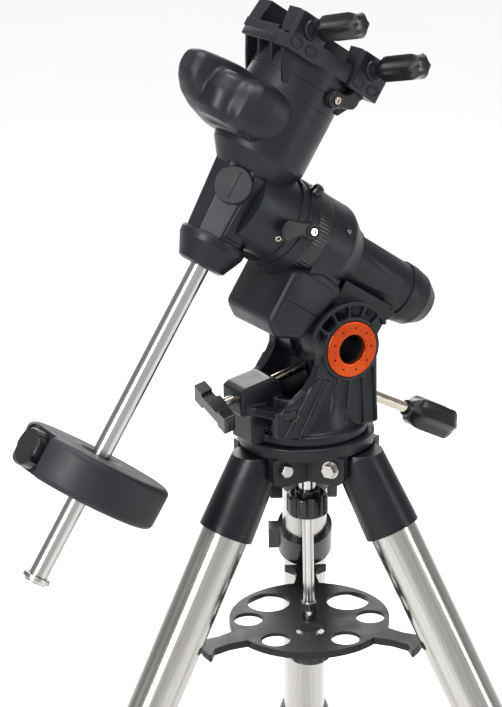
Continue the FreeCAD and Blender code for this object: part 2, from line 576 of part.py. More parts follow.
def ra_parts():
    wheel, worm = worm_pair(72, -WHEEL_R - 5.2)
    body = ra_housing().cut(cyl(7.5, 72, (-WHEEL_R - 5.2, -36, 72), (0, 1, 0)))
    result = {"ra_housing": union([body, put(ra_toe(), RA.inverse())])}
    result["ra_motor_cover"] = ra_motor_cover().cut(result["ra_housing"])
    result["ra_motor"] = motor((-74, 0, 72), (0, 1, 0))
    result["ra_worm"] = worm
    result["ra_worm_wheel"] = wheel
    lever, screw = clutch_lever(RA_LEVER_AT, RA_LEVER_ANGLE, (-0.97, 0.24))
    result["ra_clutch_lever"] = Part.makeCompound([lever, screw])
    ring_body = ring(HEAD_R, 22, RA_CLUTCH_END - RA_BODY_END - 2 * GAP, (0, 0, RA_BODY_END + GAP))
    result["ra_clutch_ring"] = ring_body.cut(lever_screw_hole(RA_LEVER_AT, RA_LEVER_ANGLE))
    result["ra_shaft"] = ring(SHAFT_R, 10, 176, (0, 0, RA_SEAM + 4))
    tail = lathe([(0, RA_SEAM - 0.1), (32.5, RA_SEAM - 0.1), (32.5, RA_SEAM - 10), (30, RA_SEAM - 26),
                  (22, RA_SEAM - 41), (12, RA_SEAM - 48), (0, RA_SEAM - 50)])
    hollow = lathe([(0, RA_SEAM), (28, RA_SEAM), (28, RA_SEAM - 12), (18, RA_SEAM - 38), (0, RA_SEAM - 44)])
    result["polar_cap"] = rounded(tail, 3, lambda e: e.CenterOfMass.z < RA_SEAM - 9).cut(hollow)
    return {key: put(shape, RA) for key, shape in result.items()}


nodes.update(ra_parts())

# ---------------------------------------------------------------- declination axis, local Z along DEC_UP
DEC_LOW = -46.0
DEC_SHOULDER = 46.0
DEC_BODY_END = 112.0
DEC_CLUTCH_END = 146.0
SADDLE_FLOOR = 168.0
SADDLE_TOP = 190.0
GROOVE_HALF = 22.5                            # half the dovetail's wide side
SADDLE_HALF = 60.0                            # half the saddle's length
SADDLE_KNOB_X = 43.0
KNOB_TILT = 14.0                              # the saddle knobs lean up from the groove's floor


def dec_housing():
    """Declination housing: octagonal lower part, round head, and the neck to the polar axis."""
    head = lathe([(0, 26), (35, 26), (HEAD_R - 1, DEC_SHOULDER), (HEAD_R, DEC_SHOULDER + 4),
                  (HEAD_R, DEC_BODY_END), (0, DEC_BODY_END)])
    sections = []
    for radius, z in ((32, DEC_LOW), (39, 50)):
        points = regular(8, radius, 22.5)
        sections.append(Part.makePolygon([V(x, y, z) for x, y in points + points[:1]]))
    lower = Part.makeLoft(sections, True, True)
    lower = rounded(lower, 4, lambda e: e.BoundBox.ZLength > 50)
    neck_end = RA_TO_DEC - RA_CLUTCH_END
    neck = cyl(47, neck_end - GAP, (0, 0, 0), (1, 0, 0))
    neck = neck.common(block(0, 80, -47, 47, -42, 47))
    flange = cyl(HEAD_R - 1.0, 9, (neck_end - 9 - GAP, 0, 0), (1, 0, 0))
    body = union([head, lower, neck, flange])
    body = body.cut(union([cyl(22, 260, (0, 0, -80)), cyl(44, 60, (0, 0, 76))]))
    body = body.cut(cyl(SHAFT_R, 60, (24, 0, 0), (1, 0, 0)))
    body = body.cut(cyl(7.5, 72, (-WHEEL_R - 5.2, -36, 92), (0, 1, 0)))
    return body.cut(block(-60, -40, -36, 36, 84, 100))


def dec_motor_cover():
    """Hollow two-lobed cover over the declination motor: long lobe behind, short lobe in front."""
    far = rounded(block(-112, -30, -4, 45, 54, 111), 15, lambda e: e.CenterOfMass.x < -60)
    near = block(-74, -10, -47, 6, 54, 108)
    near = rounded(near, 14, lambda e: e.CenterOfMass.y < -10 and e.CenterOfMass.x < -12)
    bridge = prism_z([(-98, 2), (-66, -30), (-30, -30), (-30, 30), (-98, 30)], 58, 105)
    bridge = rounded(bridge, 6, lambda e: e.CenterOfMass.x < -60)
    body = union([far, near, bridge])
    hollow = union([block(-107, -30, 2, 39, 60, 105), block(-68, -16, -41, 10, 62, 102)])
    return body.cut(hollow).cut(cyl(HEAD_R + 0.1, 200, (0, 0, 0)))


def dec_collar():
    """Conical collar that holds the counterweight bar."""
    body = lathe([(0, DEC_LOW - 0.1), (34.5, DEC_LOW - 0.1), (35.5, DEC_LOW - 3), (35.0, DEC_LOW - 9),
                  (25, DEC_LOW - 30), (21, DEC_LOW - 32), (0, DEC_LOW - 32)])
    return body.cut(cyl(BAR_R, 80, (0, 0, DEC_LOW - 60)))


def counterweight():
    top, low = -WEIGHT_AT + WEIGHT_T / 2, -WEIGHT_AT - WEIGHT_T / 2
    body = rounded(cyl(WEIGHT_R, WEIGHT_T, (0, 0, low)), 7)
    body = body.cut(cone(24, 17, 4, (0, 0, top), (0, 0, -1)))
    body = body.cut(cone(24, 17, 4, (0, 0, low), (0, 0, 1)))
    body = body.cut(cyl(BAR_R + FIT, 90, (0, 0, low - 10)))
    notch = block(-WEIGHT_R - 5, -WEIGHT_R + 13, -24, 24, low - 1, top + 1)
    notch = rounded(notch, 6, lambda e: e.BoundBox.ZLength > 40 and e.CenterOfMass.x > -WEIGHT_R + 12)
    body = body.cut(notch)
    return body.cut(cyl(5.0 + FIT, 62, (-WEIGHT_R + 5, 0, -WEIGHT_AT), (1, 0, 0)))


def weight_knob():
    turn = frame((-WEIGHT_R + 12.7, 0, -WEIGHT_AT), (0, 0, 1), (-1, 0, 0))
    star = union([lobed_knob(20, 13, 5, 3), cyl(10, 4, (0, 0, 0)), cyl(5.0, 52, (0, 0, -52))])
    return put(star, turn)


def knob_frame(x):
    """Placement of a saddle knob's screw: local Z points out of the saddle."""
    tilt = math.radians(KNOB_TILT)
    return frame((x, -44, SADDLE_FLOOR + 6), (1, 0, 0), (0, -math.cos(tilt), math.sin(tilt)))


def rail(points, x0, x1):
    """Bar along local X whose section is given as (y, z) points."""
    wire = Part.makePolygon([V(x0, y, z) for y, z in points + points[:1]])
    return Part.Face(wire).extrude(V(x1 - x0, 0, 0))


def saddle():
    """Dovetail saddle on its rotating head. The groove runs along local X."""
    drum = union([cyl(HEAD_R, DEC_CLUTCH_END - DEC_BODY_END - GAP, (0, 0, DEC_BODY_END + GAP)),
                  cyl(HEAD_R - 2, SADDLE_FLOOR - DEC_CLUTCH_END - 6, (0, 0, DEC_CLUTCH_END))])
    drum = drum.cut(ring(HEAD_R + 1, HEAD_R - 1, 1.2, (0, 0, DEC_CLUTCH_END - 16)))
    hull_outline = [(-42, -34), (-30, -48), (30, -48), (42, -34), (42, 40), (30, 48), (-30, 48), (-42, 40)]
    hull = prism_z(hull_outline, DEC_CLUTCH_END + 4, SADDLE_FLOOR)
    deck = block(-SADDLE_HALF, SADDLE_HALF, -32, 44, SADDLE_FLOOR - 9, SADDLE_FLOOR)
    ribs = []
    for side in (-1, 1):
        rib = [(side * SADDLE_HALF, SADDLE_FLOOR - 8), (side * 40, DEC_CLUTCH_END + 6),
               (side * 40, SADDLE_FLOOR - 6)]
        ribs.extend(prism_y(rib, y - 2, y + 2) for y in (-24, -6, 12, 34))
    fixed = rail([(GROOVE_HALF, SADDLE_FLOOR), (GROOVE_HALF - 5.6, SADDLE_TOP), (40, SADDLE_TOP),
                  (44, SADDLE_FLOOR)], 1 - SADDLE_HALF, SADDLE_HALF - 1)
    cheeks = []
    for x in (-SADDLE_KNOB_X, SADDLE_KNOB_X):
        cheeks.append(block(x - 19, x + 19, -52, -30, SADDLE_FLOOR - 20, SADDLE_FLOOR - 6))
        cheeks.append(block(x - 19, x + 19, -52, -44, SADDLE_FLOOR - 20, SADDLE_FLOOR + 20))
    body = union([drum, hull, deck, fixed] + ribs + cheeks)
    for x in (-SADDLE_KNOB_X, SADDLE_KNOB_X):
        body = body.cut(put(cyl(4.0 + FIT, 60, (0, 0, -30)), knob_frame(x)))
        body = body.cut(block(x - 17.0, x + 17.0, -44.0, -18.0, SADDLE_FLOOR - 4.0, SADDLE_TOP + 5))
    return body.cut(cyl(SHAFT_R, DEC_CLUTCH_END + 14 - DEC_BODY_END, (0, 0, DEC_BODY_END)))


def saddle_jaw(x):
    """Sliding jaw block under one knob."""
    points = [(-43.4, SADDLE_FLOOR - 3.6), (-24.0, SADDLE_FLOOR - 3.6), (-24.0, SADDLE_FLOOR),
              (-GROOVE_HALF - 0.6, SADDLE_FLOOR), (-GROOVE_HALF + 5.0, SADDLE_TOP), (-38, SADDLE_TOP),
              (-43.4, SADDLE_TOP - 6)]
    return rail(points, x - 16.6, x + 16.6)


def saddle_knob(x):
    knob = union([hex_grip(14.5, 56, 26), cyl(7.5, 8, (0, 0, 20)), cyl(4.0, 30, (0, 0, 1.6))])
    return put(knob, knob_frame(x))


def dec_parts():
    wheel, worm = worm_pair(92, -WHEEL_R - 5.2)
    lever, screw = clutch_lever(DEC_LEVER_AT, DEC_LEVER_ANGLE, (-0.25, -0.97))
    result = {"dec_housing": dec_housing(), "dec_motor_cover": dec_motor_cover(),
              "dec_motor": motor((-84, 21, 82), (-1, 0, 0)), "dec_worm": worm, "dec_worm_wheel": wheel,
              "dec_clutch_lever": Part.makeCompound([lever, screw])}
    result["dec_shaft"] = ring(SHAFT_R, 10, DEC_CLUTCH_END + 30, (0, 0, -16))
    port = rounded(cyl(19.5, 5), 1.5, lambda e: e.CenterOfMass.z > 4)
    port = union([port, block(-14, 14, -1.6, 1.6, 4, 6)])
    facet = V(-math.sqrt(0.5), -math.sqrt(0.5), 0)
    port_cap = put(port, frame(facet * 33.0 + V(0, 0, 8), (0, 0, 1), facet))
    result["dec_port_cap"] = port_cap
    result["dec_housing"] = result["dec_housing"].cut(port_cap)
    result["dec_collar"] = dec_collar()
    result["counterweight_bar"] = cyl(BAR_R, BAR_END + DEC_LOW + 14, (0, 0, -BAR_END))
    toe_cap = rounded(cyl(15, 6, (0, 0, -BAR_END - 6)), 1.5)
    result["bar_end_stop"] = union([toe_cap, cyl(11.5, 3, (0, 0, -BAR_END - 8))])
    result["counterweight"] = counterweight()
    result["counterweight_knob"] = weight_knob()
    result["saddle"] = saddle().cut(lever_screw_hole(DEC_LEVER_AT, DEC_LEVER_ANGLE))
    result["saddle_jaws"] = Part.makeCompound([saddle_jaw(-SADDLE_KNOB_X), saddle_jaw(SADDLE_KNOB_X)])
    for name, x in (("north", -SADDLE_KNOB_X), ("south", SADDLE_KNOB_X)):
        result["saddle_knob_" + name] = saddle_knob(x)
    return {key: put(shape, DEC) for key, shape in result.items()}


nodes.update(dec_parts())

# ---------------------------------------------------------------- origin and export
# The origin is the middle of the whole box's footprint, on the floor.
whole = FreeCAD.BoundBox()
for shape in nodes.values():
    whole.add(shape.BoundBox)
SHIFT = V(-(whole.XMin + whole.XMax) / 2, 0, HUB_HEIGHT)
print("tripod axis at x =", round(SHIFT.x, 3), "box", whole.XLength, whole.YLength, whole.ZMax - whole.ZMin)

os.makedirs("parts", exist_ok=True)
for name, shape in nodes.items():
    shape.translate(SHIFT)
    shape.exportStep("parts/" + name + ".step")
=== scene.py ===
import json
import math

import bmesh
import bpy
from mathutils import Matrix, Vector


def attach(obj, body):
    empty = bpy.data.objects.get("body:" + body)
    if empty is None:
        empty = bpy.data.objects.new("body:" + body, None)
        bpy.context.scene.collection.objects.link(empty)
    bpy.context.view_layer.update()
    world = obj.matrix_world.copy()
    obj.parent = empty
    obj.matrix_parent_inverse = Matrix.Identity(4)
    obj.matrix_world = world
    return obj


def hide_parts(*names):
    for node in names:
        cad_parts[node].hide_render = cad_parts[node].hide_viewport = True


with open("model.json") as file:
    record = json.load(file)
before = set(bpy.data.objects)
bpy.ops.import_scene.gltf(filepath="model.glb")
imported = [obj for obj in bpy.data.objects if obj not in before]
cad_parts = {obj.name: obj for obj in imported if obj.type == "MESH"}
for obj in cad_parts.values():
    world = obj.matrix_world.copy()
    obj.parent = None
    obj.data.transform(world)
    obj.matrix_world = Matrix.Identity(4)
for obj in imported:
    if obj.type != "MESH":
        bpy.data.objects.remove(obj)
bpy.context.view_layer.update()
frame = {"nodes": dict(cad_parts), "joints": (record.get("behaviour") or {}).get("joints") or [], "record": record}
nodes = frame["nodes"]
joints = {j["name"]: j for j in frame["joints"]}

# ---------------------------------------------------------------- frames of the moving axes
HEAD = Vector(joints["azimuth_turn"]["pos_m"])          # centre of the tripod head's top face
ALT = Vector(joints["latitude"]["pos_m"])
POLE = Vector(joints["ra_turn"]["axis"]).normalized()
DEC_UP = Vector(joints["dec_turn"]["axis"]).normalized()
EAST = Vector((0, 1, 0))


def axes(origin, x, y, z):
    """Matrix of a local frame whose lengths are millimetres."""
    turn = Matrix((x, y, z)).transposed().to_4x4()
    return Matrix.Translation(origin) @ turn @ Matrix.Scale(0.001, 4)


RA = axes(Vector(joints["ra_turn"]["pos_m"]), DEC_UP, EAST, POLE)
DEC = axes(Vector(joints["dec_turn"]["pos_m"]), -POLE, EAST, DEC_UP)
BASE = axes(HEAD, Vector((1, 0, 0)), EAST, Vector((0, 0, 1)))
LEGS = ("north", "front", "rear")
LEG_AXIS = {n: Vector(joints["leg_extend_" + n]["axis"]).normalized() for n in LEGS}


# ---------------------------------------------------------------- material building blocks
class Shader:
    """One node material, with short calls for the nodes used below."""

    def __init__(self, name):
        self.material = bpy.data.materials.new(name)
        self.material.use_nodes = True
        self.tree = self.material.node_tree
        self.tree.nodes.clear()
        self.output = self.tree.nodes.new("ShaderNodeOutputMaterial")
        self.surface = self.tree.nodes.new("ShaderNodeBsdfPrincipled")
        self.link(self.surface.outputs["BSDF"], self.output.inputs["Surface"])
        self.coords = self.tree.nodes.new("ShaderNodeTexCoord").outputs["Object"]

    def link(self, source, target):
        self.tree.links.new(source, target)

    def put(self, **values):
        """Sets sockets of the surface shader; underscores stand for spaces."""
        for key, value in values.items():
            self.surface.inputs[key.replace("_", " ")].default_value = value

    def drive(self, key, source):
        self.link(source, self.surface.inputs[key])

    def along(self, axis, stretch):
        """Coordinates turned so that Z runs along axis, and stretched by (x, y, z)."""
        turn = self.tree.nodes.new("ShaderNodeMapping")
        turn.inputs["Rotation"].default_value = axis.to_track_quat("Z", "Y").inverted().to_euler()
        scale = self.tree.nodes.new("ShaderNodeMapping")
        scale.inputs["Scale"].default_value = stretch
        self.link(self.coords, turn.inputs["Vector"])
        self.link(turn.outputs["Vector"], scale.inputs["Vector"])
        return scale.outputs["Vector"]

    def noise(self, scale, detail=4.0, rough=0.55, coords=None):
        node = self.tree.nodes.new("ShaderNodeTexNoise")
        node.inputs["Scale"].default_value = scale
        node.inputs["Detail"].default_value = detail
        node.inputs["Roughness"].default_value = rough
        self.link(coords or self.coords, node.inputs["Vector"])
        return node.outputs["Fac"]

    def spots(self, scale):
        node = self.tree.nodes.new("ShaderNodeTexVoronoi")
        node.inputs["Scale"].default_value = scale
        self.link(self.coords, node.inputs["Vector"])
        return node.outputs["Distance"]

    def spread(self, source, low, high, start=0.35, end=0.65):
        """Carries source from start..end onto low..high."""
        node = self.tree.nodes.new("ShaderNodeMapRange")
        node.inputs["From Min"].default_value = start
        node.inputs["From Max"].default_value = end
        node.inputs["To Min"].default_value = low
        node.inputs["To Max"].default_value = high
        self.link(source, node.inputs["Value"])
        return node.outputs["Result"]

    def blend(self, factor, first, second):
        """Mixes two colours; each is a colour or another node's output."""
        node = self.tree.nodes.new("ShaderNodeMix")
        node.data_type = "RGBA"
        self.link(factor, node.inputs["Factor"])
        for key, value in (("A", first), ("B", second)):
            socket = [s for s in node.inputs if s.name == key and s.type == "RGBA"][0]
            if isinstance(value, tuple):
                socket.default_value = (*value, 1.0)
            else:
                self.link(value, socket)
        return [s for s in node.outputs if s.type == "RGBA"][0]

    def soft_edges(self, radius):
        node = self.tree.nodes.new("ShaderNodeBevel")
        node.samples = 6
        node.inputs["Radius"].default_value = radius
        return node.outputs["Normal"]

    def edge_mask(self, radius):
        """0 on flat faces, near 1 along sharp edges."""
        soft = self.soft_edges(radius)
        normal = self.tree.nodes.new("ShaderNodeNewGeometry").outputs["Normal"]
        dot = self.tree.nodes.new("ShaderNodeVectorMath")
        dot.operation = "DOT_PRODUCT"
        self.link(soft, dot.inputs[0])
        self.link(normal, dot.inputs[1])
        return self.spread(dot.outputs["Value"], 1.0, 0.0, 0.80, 0.985)

    def bump(self, height, depth, normal=None):
        node = self.tree.nodes.new("ShaderNodeBump")
        node.inputs["Strength"].default_value = 1.0
        node.inputs["Distance"].default_value = depth
        self.link(height, node.inputs["Height"])
        if normal is not None:
            self.link(normal, node.inputs["Normal"])
        return node.outputs["Normal"]


def moulded(name, dark, light, rough, grain=2600.0, depth=0.00004, edge=0.0007, wear=0.35):
    """Painted casting or moulded plastic: fine orange-peel, faint mottling, lighter worn edges."""
    s = Shader(name)
    mottled = s.blend(s.spread(s.noise(14.0), 0.0, 1.0), dark, light)
    rubbed = s.spread(s.noise(55.0), 0.0, wear)
    mask = s.tree.nodes.new("ShaderNodeMath")
    mask.operation = "MULTIPLY"
    s.link(s.edge_mask(edge * 1.4), mask.inputs[0])
    s.link(rubbed, mask.inputs[1])
    worn = tuple(min(1.0, c * 2.4 + 0.03) for c in light)
    s.drive("Base Color", s.blend(mask.outputs["Value"], mottled, worn))
    s.drive("Roughness", s.spread(s.noise(38.0, 6.0), rough - 0.05, rough + 0.07))
    s.drive("Normal", s.bump(s.noise(grain, 2.0), depth, s.soft_edges(edge)))
    s.put(Specular_IOR_Level=0.20)
    return s.material


def glossy(name, colour, rough, edge=0.0008):
    """Smooth glossy moulding with faint handling marks."""
    s = Shader(name)
    lighter = tuple(c * 1.5 + 0.004 for c in colour)
    s.drive("Base Color", s.blend(s.spread(s.noise(30.0), 0.0, 1.0), colour, lighter))
    s.drive("Roughness", s.spread(s.noise(26.0, 3.0), rough - 0.03, rough + 0.04))
    s.drive("Normal", s.bump(s.noise(900.0, 3.0), 0.00001, s.soft_edges(edge)))
    s.put(Coat_Weight=0.12, Coat_Roughness=0.10, Specular_IOR_Level=0.26)
    return s.material


def drawn_tube(name, axis, colour, rough, lines=900.0, along=14.0, depth=0.00003):
    """Metal tube brushed along its length, with the odd longer scratch."""
    s = Shader(name)
    fine = s.along(axis, (lines, lines, along))
    long = s.along(axis, (lines * 0.22, lines * 0.22, along * 0.12))
    grain = s.noise(1.0, 5.0, 0.6, fine)
    darker = tuple(c * 0.82 for c in colour)
    s.drive("Base Color", s.blend(s.spread(grain, 0.0, 1.0), darker, colour))
    s.drive("Roughness", s.spread(s.noise(1.0, 3.0, 0.5, long), rough - 0.08, rough + 0.12))
    s.drive("Normal", s.bump(grain, depth, s.soft_edges(0.0006)))
    s.put(Metallic=1.0, Anisotropic=0.35)
    return s.material


def polished(name, colour, rough, edge=0.0004):
    """Bright plated or polished metal with light haze and fine scuffs."""
    s = Shader(name)
    hazy = tuple(c * 0.86 for c in colour)
    s.drive("Base Color", s.blend(s.spread(s.noise(40.0), 0.0, 1.0), hazy, colour))
    s.drive("Roughness", s.spread(s.noise(160.0, 8.0, 0.7), rough * 0.6, rough * 1.6))
    s.drive("Normal", s.bump(s.noise(1400.0, 3.0), 0.00001, s.soft_edges(edge)))
    s.put(Metallic=1.0)
    return s.material


def anodised(name, deep, bright, rough):
    """Coloured anodised aluminium: satin, with fine turned grain."""
    s = Shader(name)
    turned = s.along(EAST, (1500.0, 1500.0, 20.0))
    grain = s.noise(1.0, 3.0, 0.5, turned)
    s.drive("Base Color", s.blend(s.spread(s.noise(24.0), 0.0, 1.0), deep, bright))
    s.drive("Roughness", s.spread(grain, rough - 0.06, rough + 0.08))
    s.drive("Normal", s.bump(grain, 0.00002, s.soft_edges(0.0006)))
    s.put(Metallic=0.85)
    return s.material


def rubbery(name, colour):
    s = Shader(name)
    dusty = tuple(c * 2.2 + 0.01 for c in colour)
    s.drive("Base Color", s.blend(s.spread(s.noise(45.0, 8.0, 0.7), 0.0, 0.6), colour, dusty))
    s.drive("Roughness", s.spread(s.noise(120.0), 0.7, 0.9))
    s.drive("Normal", s.bump(s.spots(1300.0), 0.00008, s.soft_edges(0.0008)))
    return s.material


# ---------------------------------------------------------------- the materials
CHARCOAL = (0.0045, 0.0052, 0.0075)
CHARCOAL_LIGHT = (0.0075, 0.0088, 0.0120)
BLACK = (0.003, 0.003, 0.004)
materials = {
    "hub_casting": moulded("hub_casting", (0.0033, 0.0036, 0.0050), (0.0060, 0.0066, 0.0083), 0.34),
    "base_casting": moulded("base_casting", (0.0028, 0.0033, 0.0050), (0.0055, 0.0066, 0.0088), 0.32),
    "head_casting": moulded("head_casting", CHARCOAL, CHARCOAL_LIGHT, 0.36),
    "cover_plastic": moulded("cover_plastic", (0.0044, 0.0050, 0.0072), (0.0072, 0.0083, 0.0105), 0.38,
                             depth=0.00006),
    "leg_cap_plastic": moulded("leg_cap_plastic", (0.0028, 0.0030, 0.0044), (0.0055, 0.0060, 0.0077),
                               0.32),
    "tray_plastic": moulded("tray_plastic", (0.0044, 0.0044, 0.0055), (0.0077, 0.0077, 0.0094), 0.42),
    "weight_paint": moulded("weight_paint", (0.0066, 0.0072, 0.0088), (0.0110, 0.0116, 0.0143), 0.46,
                            grain=1500.0, depth=0.0001),
    "black_plastic": glossy("black_plastic", BLACK, 0.27),
    "black_anodised": moulded("black_anodised", (0.004, 0.004, 0.005), (0.007, 0.007, 0.008), 0.30),
    "chrome": drawn_tube("chrome", DEC_UP, (0.44, 0.43, 0.42), 0.12, 1400.0, 8.0, 0.00001),
    "zinc": polished("zinc", (0.36, 0.35, 0.33), 0.24),
    "nickel": polished("nickel", (0.46, 0.42, 0.36), 0.18),
    "orange_anodised": anodised("orange_anodised", (0.30, 0.030, 0.003), (0.40, 0.050, 0.005), 0.24),
    "rubber": rubbery("rubber", (0.012, 0.012, 0.012)),
    "brass": polished("brass", (0.72, 0.52, 0.22), 0.25),
    "motor_can": polished("motor_can", (0.42, 0.42, 0.43), 0.35),
}
for part in frame["record"]["subparts"]:
    name = part["node"]
    finish = materials.get(part["material_slot"])
    for n in LEGS:
        if name in ("leg_tube_" + n, "leg_extension_" + n):
            finish = drawn_tube(name, LEG_AXIS[n], (0.40, 0.39, 0.37), 0.24)
    if name == "centre_rod":
        finish = drawn_tube(name, Vector((0, 0, 1)), (0.44, 0.43, 0.42), 0.15)
    obj = nodes[name]
    obj.data.materials.clear()
    obj.data.materials.append(finish)


# ---------------------------------------------------------------- mesh building blocks
def polygon_mesh(rings):
    """Skin between rings of equal length, with flat ends."""
    bm = bmesh.new()
    loops = [[bm.verts.new(p) for p in ring] for ring in rings]
    count = len(loops[0])
    for low, high in zip(loops, loops[1:]):
        for i in range(count):
            bm.faces.new((low[i], low[(i + 1) % count], high[(i + 1) % count], high[i]))
    bm.faces.new(reversed(loops[0]))
    bm.faces.new(loops[-1])
    bmesh.ops.recalc_face_normals(bm, faces=bm.faces)
    return bm


def circle(radius, height, count=72):
    angles = [2 * math.pi * i / count for i in range(count)]
    return [(radius * math.cos(a), radius * math.sin(a), height) for a in angles]


def turned(profile, count=72):
    """Solid of revolution about Z from (radius, height) pairs."""
    return polygon_mesh([circle(max(r, 0.01), z, count) for r, z in profile])


def egg(centre, half, power, across):
    """Squarish closed ring about centre; across names its plane: 'yz', 'xz' or 'xy'."""
    ring = []
    for i in range(40):
        a = 2 * math.pi * i / 40
        u = half[0] * math.copysign(abs(math.cos(a)) ** (2 / power), math.cos(a))
        v = half[1] * math.copysign(abs(math.sin(a)) ** (2 / power), math.sin(a))
        x, y, z = centre
        ring.append({"yz": (x, y + u, z + v), "xz": (x + u, y, z + v), "xy": (x + u, y + v, z)}[across])
    return ring


def plate(outline, start, end, across):
    """Outline in the plane named by across ("xz" or "xy"), carried from start to end beside it."""
    if across == "xz":
        return polygon_mesh([[(u, w, v) for u, v in outline] for w in (start, end)])
    return polygon_mesh([[(u, v, w) for u, v in outline] for w in (start, end)])


def slab(x0, x1, y0, y1, z0, z1):
    return plate([(x0, y0), (x1, y0), (x1, y1), (x0, y1)], z0, z1, "xy")


def moved(bm, matrix):
    bmesh.ops.transform(bm, matrix=matrix, verts=bm.verts)
    return bm


def rounded(bm, width, steps=4, limit=25):
    """Rounds every edge sharper than limit degrees."""
    limit = math.radians(limit)
    sharp = [e for e in bm.edges if len(e.link_faces) == 2 and e.calc_face_angle(0) > limit]
    bmesh.ops.bevel(bm, geom=sharp, offset=width, segments=steps, profile=0.5, affect="EDGES",
                    clamp_overlap=True)
    return bm


def joined(solids):
    """One object holding several meshes, still in local millimetres."""
    whole = bmesh.new()
    for solid in solids:
        part = bpy.data.meshes.new("part")
        solid.to_mesh(part)
        solid.free()
        whole.from_mesh(part)
        bpy.data.meshes.remove(part)
    mesh = bpy.data.meshes.new("joined")
    whole.to_mesh(mesh)
    whole.free()
    obj = bpy.data.objects.new("joined", mesh)
    bpy.context.scene.collection.objects.link(obj)
    return obj


def shaped(solids, cuts=(), voxel=None, smooth=0):
    """Mesh of the solids, fused and softened where a voxel size is given, then cut."""
    obj = joined(solids)
    tool = None
    if voxel:
        skin = obj.modifiers.new("skin", "REMESH")
        skin.mode = "VOXEL"
        skin.voxel_size = voxel
        if smooth:
            soft = obj.modifiers.new("soft", "SMOOTH")
            soft.factor = 0.5
            soft.iterations = smooth
    if cuts:
        tool = joined(cuts)
        carve = obj.modifiers.new("carve", "BOOLEAN")
        carve.operation = "DIFFERENCE"
        carve.solver = "EXACT"
        carve.use_self = True
        carve.object = tool
    bpy.context.view_layer.update()
    mesh = bpy.data.meshes.new_from_object(obj.evaluated_get(bpy.context.evaluated_depsgraph_get()))
    bpy.data.objects.remove(obj)
    if tool:
        bpy.data.objects.remove(tool)
    return mesh


def add(name, mesh, where, finish, body, stands_for=()):
    """Places a finished mesh in the row frame, rides it on a body and gives it its material."""
    if isinstance(mesh, bmesh.types.BMesh):
        solid, mesh = mesh, bpy.data.meshes.new(name)
        solid.to_mesh(mesh)
        solid.free()
    mesh.transform(where)
    for polygon in mesh.polygons:
        polygon.use_smooth = True
    mesh.set_sharp_from_angle(angle=math.radians(32))
    mesh.materials.clear()
    mesh.materials.append(materials[finish])
    obj = bpy.data.objects.new(name, mesh)
    bpy.context.scene.collection.objects.link(obj)
    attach(obj, body)
    if stands_for:
        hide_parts(*stands_for)


def facing(place, outward, along):
    """Local frame in the parent's millimetres: Z outward, Y near the given direction."""
    z = Vector(outward).normalized()
    x = Vector(along).cross(z).normalized()
    y = z.cross(x)
    return Matrix.Translation(Vector(place)) @ Matrix((x, y, z)).transposed().to_4x4()


def hex_ring(radius, height, roundness):
    """Six-sided ring: roundness 0 is a hexagon with hollowed flats, 1 a circle."""
    ring = []
    for i in range(72):
        a = 2 * math.pi * i / 72
        flat = math.cos(math.radians(30)) / math.cos((a % (math.pi / 3)) - math.pi / 6)
        hollow = flat - 0.035 * (1 + math.cos(6 * a + math.pi))
        r = radius * (roundness + (1 - roundness) * hollow)
        ring.append((r * math.cos(a), r * math.sin(a), height))
    return ring


def hex_knob(radius, start, length, stem):
    """Long six-sided grip: stem, flared shoulder, straight flanks, chamfered end."""
    # Radius, share of the length, and roundness of each section.
    steps = [(stem, 0.0, 1.0), (stem * 1.05, 0.06, 1.0), (radius * 0.80, 0.13, 0.3),
             (radius * 0.97, 0.22, 0.0), (radius, 0.30, 0.0), (radius, 0.84, 0.0),
             (radius * 0.97, 0.88, 0.0), (radius * 0.80, 0.955, 0.1), (radius * 0.70, 0.985, 0.2),
             (radius * 0.60, 1.0, 0.3), (radius * 0.2, 1.01, 0.8)]
    return polygon_mesh([hex_ring(r, start + length * t, roundness) for r, t, roundness in steps])


def socket_screw(radius, height):
    """Cap screw head with a round-edged rim and a sunk socket."""
    return turned([(radius, 0), (radius, height - 0.6), (radius - 0.6, height), (radius * 0.55, height),
                   (radius * 0.5, height - 0.3), (radius * 0.5, height - 1.6)], 48)


def drum(clearance, low, high):
    """Cutter round a head's axis, so that a piece stops short of the round head."""
    return turned([(HEAD_R + clearance, low), (HEAD_R + clearance, high)], 96)


def across_y(centre, radius, low, high, count):
    """Cylinder along Y through (x, z), from low to high."""
    x, z = centre
    lie = Matrix.Translation((x, 0, z)) @ Matrix.Rotation(math.radians(90), 4, "X")
    return moved(turned([(radius, -high), (radius, -low)], count), lie)


# ---------------------------------------------------------------- declination head
HEAD_R = 50.0                   # round ends of both axis housings


def dec_cover():
    """Soft two-lobed motor cover: a long lobe behind, a short one in front, a valley between."""
    far = polygon_mesh([egg((x, y, z), (w, h), 2.7, "yz") for x, y, z, w, h in (
        (-30, 20, 84, 26, 33), (-60, 20, 85, 26, 33), (-80, 21, 87, 25, 29), (-95, 22, 90, 22, 24),
        (-105, 22, 94, 18, 18), (-111, 23, 97, 12, 11))])
    near = polygon_mesh([egg((x, y, z), (w, h), 2.6, "yz") for x, y, z, w, h in (
        (-8, -24, 86, 22, 21), (-22, -24, 84, 25, 28), (-40, -23, 82, 26, 30), (-56, -21, 81, 25, 28),
        (-67, -19, 81, 21, 23), (-74, -17, 82, 13, 14))])
    bridge = polygon_mesh([egg((-55, 0, z), (w, h), 2.4, "xy") for z, w, h in (
        (56, 26, 24), (64, 34, 30), (84, 38, 32), (100, 34, 28), (106, 26, 22))])
    base = polygon_mesh([egg((-34, 2, z), (26, 38), 3.0, "xy") for z in (52, 104)])
    return shaped([far, near, bridge, base], [drum(0.4, 20, 140)], 1.5, 14)


